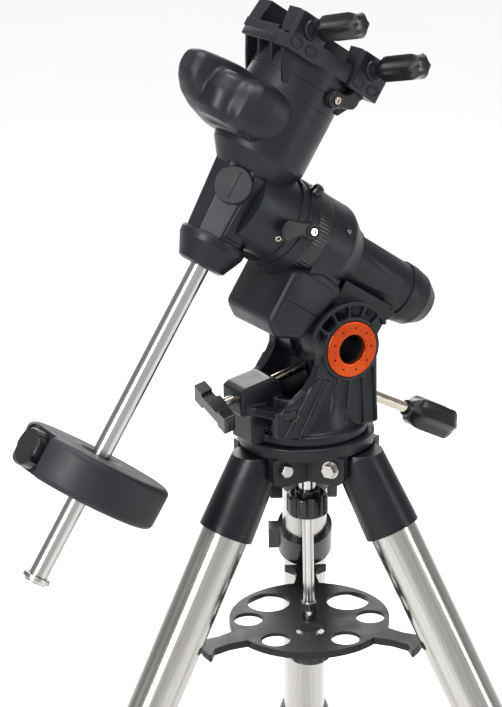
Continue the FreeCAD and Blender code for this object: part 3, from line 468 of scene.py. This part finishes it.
add("dec_cover", dec_cover(), DEC, "cover_plastic", "ra_axis", ["dec_motor_cover"])
motor_line = Matrix.Translation((-62, 21, 86)) @ Matrix.Rotation(math.radians(-90), 4, "Y")
servo = turned([(2.5, -24), (2.5, -16), (12, -15.5), (13, -14), (13, -1), (12.2, 0), (11.4, 0.4),
                (11.4, 27), (10.4, 28.5), (4, 28.5), (3.6, 31), (1.5, 31)])
add("dec_servo", moved(servo, motor_line), DEC, "motor_can", "ra_axis", ["dec_motor"])


def knob_axis(x):
    """Frame of a saddle knob, in the declination head's millimetres."""
    tilt = math.radians(14)
    return facing((x, -44, 174), (0, -math.cos(tilt), math.sin(tilt)), (1, 0, 0))


SADDLE_SCREWS = {"north": -43, "south": 43}       # places along the saddle
for side, x in SADDLE_SCREWS.items():
    body = "saddle_screw_" + side
    add("saddle_grip_" + side, hex_knob(14.8, 17, 65, 7.8), DEC @ knob_axis(x), "black_plastic", body,
        ["saddle_knob_" + side])
    add("saddle_stud_" + side, turned([(4.6, 1.6), (4.6, 19)], 40), DEC @ knob_axis(x), "nickel", body)


# ---------------------------------------------------------------- dovetail saddle
def saddle_details():
    """Webs under both ends of the saddle, a lip along each end and a pad along each side."""
    pieces = []
    for side in (-1, 1):
        for y in (-36, -14, 10, 34):
            web = [(59, 152), (59, 159), (22, 159), (30, 124), (38, 119), (48, 134)]
            web = [(side * x, z) for x, z in web]
            pieces.append(rounded(plate(web, y - 2.2, y + 2.2, "xz"), 1.0, 3))
        low, high = sorted((side * 52, side * 60))
        pieces.append(rounded(slab(low, high, -40, 42, 150, 160), 1.8, 3))
    for y in (-40.2, 40.2):
        pieces.append(rounded(slab(-24, 24, y - 1.6, y + 1.6, 145, 156), 1.2, 3))
    return shaped(pieces)


add("saddle_webs", saddle_details(), DEC, "head_casting", "dec_axis")


# ---------------------------------------------------------------- screws, bands and panels
def ribbed_band(radius, start, end, count, high=0.4):
    """Rings of a band with fine ribs along its width, fading out at both rims."""
    rings = []
    per_rib = 6
    for z, swell in ((start, 0.0), (start + 1.2, 1.0), (end - 1.2, 1.0), (end, 0.0)):
        ring = []
        for i in range(count * per_rib):
            a = 2 * math.pi * i / (count * per_rib)
            r = radius + high * swell * max(0.0, math.cos(a * count)) ** 0.5
            ring.append((r * math.cos(a), r * math.sin(a), z))
        rings.append(ring)
    return rings


def band(radius, start, end, count, bore):
    outside = polygon_mesh(ribbed_band(radius, start, end, count))
    return shaped([outside], [turned([(bore, start - 5), (bore, end + 5)], 96)])


add("ra_clutch_band", band(50.2, 86.5, 103.5, 90, 47), RA, "black_plastic", "ra_axis")


def side_screw(name, parent, height, degrees, radius, body, size=4.6):
    """Sunk cap screw with a black seat on the side of a housing."""
    turn = math.radians(degrees)
    out = Vector((math.cos(turn), math.sin(turn), 0))
    mount = parent @ facing(out * radius + Vector((0, 0, height)), out, (0, 0, 1))
    seat = turned([(size, -3), (size, 0.9), (size - 0.5, 1.3), (size - 1.2, 1.3), (size - 1.3, -0.4),
                   (0.5, -0.4)], 48)
    add(name + "_seat", seat, mount, "black_plastic", body)
    head = moved(socket_screw(size - 1.8, 1.4), Matrix.Translation((0, 0, -0.6)))
    add(name + "_head", head, mount, "nickel", body)


side_screw("neck_screw", RA, 136, -112, 46.6, "ra_axis", 5.4)
side_screw("shoulder_screw", RA, 62, -60, 49.8, "altitude")
side_screw("shoulder_screw_far", RA, 62, 60, 49.8, "altitude")
# Raised panels on the flanks of both housings.
tapered = polygon_mesh([[(-11, -30.9, -42), (11, -30.9, -42), (11, -22, -42), (-11, -22, -42)],
                        [(-13, -37.2, 26), (13, -37.2, 26), (13, -26, 26), (-13, -26, 26)]])
add("dec_flank_panel", rounded(tapered, 2.2, 4), DEC, "head_casting", "ra_axis")
for sign in (-1, 1):
    outline = [(-11, -42), (12, -42), (17, 36), (-17, 36)]
    panel = rounded(plate(outline, *sorted((sign * 26, sign * 32.6)), "xz"), 2.0, 4)
    add("ra_flank_panel_" + ("near" if sign < 0 else "far"), panel, RA, "head_casting", "altitude")
for side, x in SADDLE_SCREWS.items():
    beads = []
    for shift in (-9.5, 9.5):
        rim = [egg((x + shift, y, 157), (w, h), 2.4, "xz") for y, w, h in (
            (-50, 7.4, 5.2), (-53.2, 7.4, 5.2), (-53.8, 6.8, 4.6), (-53.8, 5.6, 3.4), (-52.3, 5.2, 3.0))]
        beads.append(polygon_mesh(rim))
    beads.append(moved(turned([(11, -2), (11, 4.4), (10, 5.4), (4.6, 5.4)], 56),
                       facing((x, -49, 175.2), (0, -0.97, 0.242), (1, 0, 0))))
    add("saddle_bosses_" + side, shaped(beads), DEC, "head_casting", "dec_axis")
nub = turned([(6.5, -2), (6.5, 5), (5.5, 7), (3.0, 8.2), (0.8, 8.4)], 48)
nub_seat = RA @ facing((44, -24, 109), (0.88, -0.48, 0), (0, 0, 1))
add("ra_stop_nub", nub, nub_seat, "black_plastic", "ra_axis")


# ---------------------------------------------------------------- rear latitude knob
OUTWARD = Vector((0.88, 0, -0.475)).normalized()        # down and away from the mount
BELOW = Vector((OUTWARD.z, 0, -OUTWARD.x))
tip = ALT + (BELOW * 40.3 + OUTWARD * 24.4) * 0.001
rear_line = axes(tip, EAST, OUTWARD.cross(EAST), OUTWARD)
add("rear_sleeve", turned([(5.6, 62), (6.1, 62.6), (6.1, 119)], 48), rear_line, "nickel",
    "rear_adjuster")
add("rear_grip", hex_knob(19.5, 117, 69, 9), rear_line, "black_plastic", "rear_adjuster",
    ["rear_latitude_knob"])


# ---------------------------------------------------------------- polar axis motor cover
def ra_cover():
    outline = [(-24, 66), (-27, 40), (-39, 34), (-97, 53), (-107, 82), (-95, 101), (-36, 101)]
    body = rounded(plate(outline, -46, 46, "xz"), 8.0, 6, 20)
    panel = [(-34, 92), (-36, 50), (-46, 43), (-90, 56), (-97, 80), (-89, 95)]
    raised = rounded(plate(panel, -47.4, -30, "xz"), 1.0, 3, 20)
    seam = [slab(-67.6, -66.8, -60, -45.2, 30, 110)]
    for sign in (-1, 1):
        seam.append(slab(-120, -20, sign * 12 - 0.35, sign * 12 + 0.35, 100.2, 104))
    return shaped([body, raised], [drum(0.6, 60, 140)] + seam)


add("ra_cover", ra_cover(), RA, "cover_plastic", "altitude", ["ra_motor_cover"])


# ---------------------------------------------------------------- clutch levers
def lever_mount(ring_z, degrees, axial, round_it):
    """Frame of a clutch lever on a head's side, in that head's millimetres."""
    turn = math.radians(degrees)
    normal = Vector((math.cos(turn), math.sin(turn), 0))
    arm = Vector((0, 0, -axial)) - Vector((-math.sin(turn), math.cos(turn), 0)) * round_it
    return facing(normal * (HEAD_R + 0.3) + Vector((0, 0, ring_z)), normal, arm)


def lever():
    """Curved lever: round hub, waisted arm, thumb pad."""
    outline = [(-8.6, 0), (-7.8, 7), (-7.2, 13), (-10.5, 20), (-15, 25), (-17, 30), (-13, 35),
               (-6, 36.5), (1, 35.5), (6, 31), (7, 24), (6.6, 16), (8, 8), (8.8, 0)]
    arm = rounded(plate(outline, 1.6, 7.0, "xy"), 1.6, 3, 20)
    hub = turned([(9.6, 0), (9.6, 6.0), (8.4, 7.6), (5.2, 8.0), (5.0, 6.4), (0.5, 6.4)], 64)
    return shaped([arm, hub], (), 0.45, 4)


for where, mount, body, node in (
        ("ra", RA @ lever_mount(111.5, -85, -0.97, 0.24), "ra_clutch", "ra_clutch_lever"),
        ("dec", DEC @ lever_mount(130, -72, -0.25, -0.97), "dec_clutch", "dec_clutch_lever")):
    add(where + "_lever", lever(), mount, "black_anodised", body, [node])
    screw = moved(socket_screw(4.2, 3.0), Matrix.Translation((0, 0, 6.4)))
    add(where + "_lever_screw", screw, mount, "nickel", body)


# ---------------------------------------------------------------- azimuth base
AXLE = (22, 98)                 # altitude axis, as (x, z) over the tripod head
EAR_R = 34.3                    # round head of each fork plate
BRACKET_HOLE = (-60, 14)


def arc(centre, radius, start, end, steps):
    turns = [math.radians(start + (end - start) * i / steps) for i in range(steps + 1)]
    return [(centre[0] + radius * math.cos(t), centre[1] + radius * math.sin(t)) for t in turns]


def leaning(bar, place, lean):
    """Bar drawn along Z, leaned about Y and set down at (x, z)."""
    return moved(bar, Matrix.Translation((place[0], 0, place[1])) @ Matrix.Rotation(lean, 4, "Y"))


def fork_side(side):
    """One fork plate with its ear, the spoked arch over it, its ribs and its shelf to the bracket."""
    def reach(inner, outer):
        return sorted((side * inner, side * outer))

    edge = [(-14, 84), (-20, 72), (-30, 60), (-44, 51), (-58, 46), (-66, 43), (-66, 14), (-40, 10)]
    fork = [(56, 10), (56.3, 98)] + arc(AXLE, EAR_R, 0, 183, 24) + edge
    arch = arc(AXLE, 50, 22, 158, 24) + arc(AXLE, 45.5, 158, 22, 24)
    solids = [plate(fork, *reach(40, 52.5), "xz"),
              plate(arc(AXLE, EAR_R, 0, 360, 60)[:-1], *reach(40, 57), "xz"),
              plate(arch, *reach(47, 54), "xz")]
    for lean in (-52, -26, 0, 26, 52):
        spoke = slab(-1.4, 1.4, *reach(47, 54), 30, 48)
        solids.append(leaning(spoke, AXLE, math.radians(lean)))
    for foot_end, top_end in (((-58, 13), (-17, 72)), ((-38, 13), (-6, 68)), ((-8, 13), (6, 66)),
                              ((14, 13), (20, 64)), ((38, 13), (36, 66)), ((53, 13), (50, 76))):
        run = Vector(top_end) - Vector(foot_end)
        rib = slab(-1.7, 1.7, *reach(50, 56.5), 0, run.length)
        solids.append(leaning(rib, foot_end, math.atan2(run.x, run.y)))
    shelf = [(-88, side * 13), (-60, side * 20), (-44, side * 54), (-62, side * 56), (-76, side * 24)]
    solids.append(plate(shelf, 34, 43, "xy"))
    return solids


def base_casting():
    """Round foot, two fork plates and the north bracket as one soft-edged casting."""
    foot = turned([(66, 0.3), (66, 9.5), (64.5, 11.2), (61, 12), (59.5, 14), (57, 22), (54.5, 34),
                   (53.5, 48)])
    bracket = [(-90, 34), (-90, 60), (-84, 64), (-52, 70), (-40, 64), (-40, 16), (-56, 16), (-60, 34)]
    solids = [foot] + fork_side(-1) + fork_side(1)
    solids += [plate(bracket, -19, 19, "xz"), slab(-79, -44, -21, 21, 0.3, 38),
               slab(34, 56.2, -41, 41, 8, 30)]
    cuts = [slab(-39, 33, -39.9, 39.9, 15, 140), slab(30, 80, -39.9, 39.9, 30.5, 140),
            across_y(AXLE, 24.05, -70, 70, 80), across_y(BRACKET_HOLE, 4.4, -30, 30, 40),
            across_y(AXLE, 30.6, -62.6, -52.6, 80), across_y(AXLE, 30.6, 52.6, 62.6, 80)]
    return shaped(solids, cuts, 1.1, 5)


add("base_casting", base_casting(), BASE, "base_casting", "azimuth", ["azimuth_base"])

# ---------------------------------------------------------------- studio
bpy.ops.mesh.primitive_plane_add(size=60, location=(0, 0, 0))
floor = bpy.context.object
floor.name = "floor"
paper = Shader("floor_paper")
paper.drive("Base Color", paper.blend(paper.noise(1.2), (0.75, 0.75, 0.75), (0.78, 0.78, 0.78)))
paper.drive("Normal", paper.bump(paper.noise(220.0), 0.0002))
paper.put(Roughness=0.85)
floor.data.materials.append(paper.material)

world = bpy.data.worlds.new("studio")
bpy.context.scene.world = world
world.use_nodes = True
sky = world.node_tree.nodes["Background"]
sky.inputs["Strength"].default_value = 0.98


def sky_node(kind, **settings):
    node = world.node_tree.nodes.new("ShaderNode" + kind)
    for key, value in settings.items():
        setattr(node, key, value)
    return node


# The two ends of the room are darker than its back, which gives bright tubes something to mirror.
direction = sky_node("TexCoord")
sideways = sky_node("VectorMath", operation="DOT_PRODUCT")
sideways.inputs[1].default_value = (0.867, -0.499, 0.0)
either = sky_node("Math", operation="ABSOLUTE")
falloff = sky_node("MapRange", interpolation_type="SMOOTHSTEP")
falloff.inputs["From Min"].default_value = 0.35
falloff.inputs["From Max"].default_value = 0.85
falloff.inputs["To Min"].default_value = 1.0
falloff.inputs["To Max"].default_value = 0.45
for source, target in ((direction.outputs["Generated"], sideways.inputs[0]),
                       (sideways.outputs["Value"], either.inputs[0]),
                       (either.outputs["Value"], falloff.inputs["Value"]),
                       (falloff.outputs["Result"], sky.inputs["Color"])):
    world.node_tree.links.new(source, target)


def softbox(name, place, target, width, height, power):
    """Square-cornered area lamp at place, turned to face target."""
    light = bpy.data.lights.new(name, "AREA")
    light.shape = "RECTANGLE"
    light.size = width
    light.size_y = height
    light.energy = power
    lamp = bpy.data.objects.new(name, light)
    bpy.context.scene.collection.objects.link(lamp)
    lamp.location = Vector(place)
    lamp.rotation_euler = (Vector(target) - Vector(place)).to_track_quat("-Z", "Y").to_euler()


CENTRE = (0.05, 0.0, 0.75)
softbox("key_left", (-2.4, -1.0, 1.9), CENTRE, 0.7, 1.8, 95)
softbox("fill_right", (1.7, -2.2, 1.2), CENTRE, 0.35, 1.8, 22)
softbox("top", (0.2, -0.2, 3.2), CENTRE, 1.3, 1.3, 66)
softbox("rim", (0.9, 2.3, 1.7), CENTRE, 1.6, 1.2, 30)
glow = bpy.data.lights.new("even_glow", "SUN")
glow.energy = 1.25
glow.angle = math.radians(70)
even_glow = bpy.data.objects.new("even_glow", glow)
bpy.context.scene.collection.objects.link(even_glow)
even_glow.rotation_euler = Vector((0.35, 0.25, -1.0)).to_track_quat("-Z", "Y").to_euler()
bpy.context.scene.view_settings.view_transform = "Standard"


# ---------------------------------------------------------------- camera
camera = bpy.data.objects.new("camera", bpy.data.cameras.new("camera"))
bpy.context.scene.collection.objects.link(camera)
look = Vector((0.4726, 0.8215, -0.319)).normalized()
level = look.cross(Vector((0, 0, 1))).normalized()
upright = level.cross(look)
roll = math.radians(-1.36)
right = level * math.cos(roll) + upright * math.sin(roll)
up = upright * math.cos(roll) - level * math.sin(roll)
spot = HEAD + Vector((-1.1169, -1.8271, 0.8036))
camera.matrix_world = Matrix.Translation(spot) @ Matrix((right, up, -look)).transposed().to_4x4()
camera.data.sensor_width = 36.0
camera.data.lens = 109.2
camera.data.clip_end = 200.0
bpy.context.scene.camera = camera
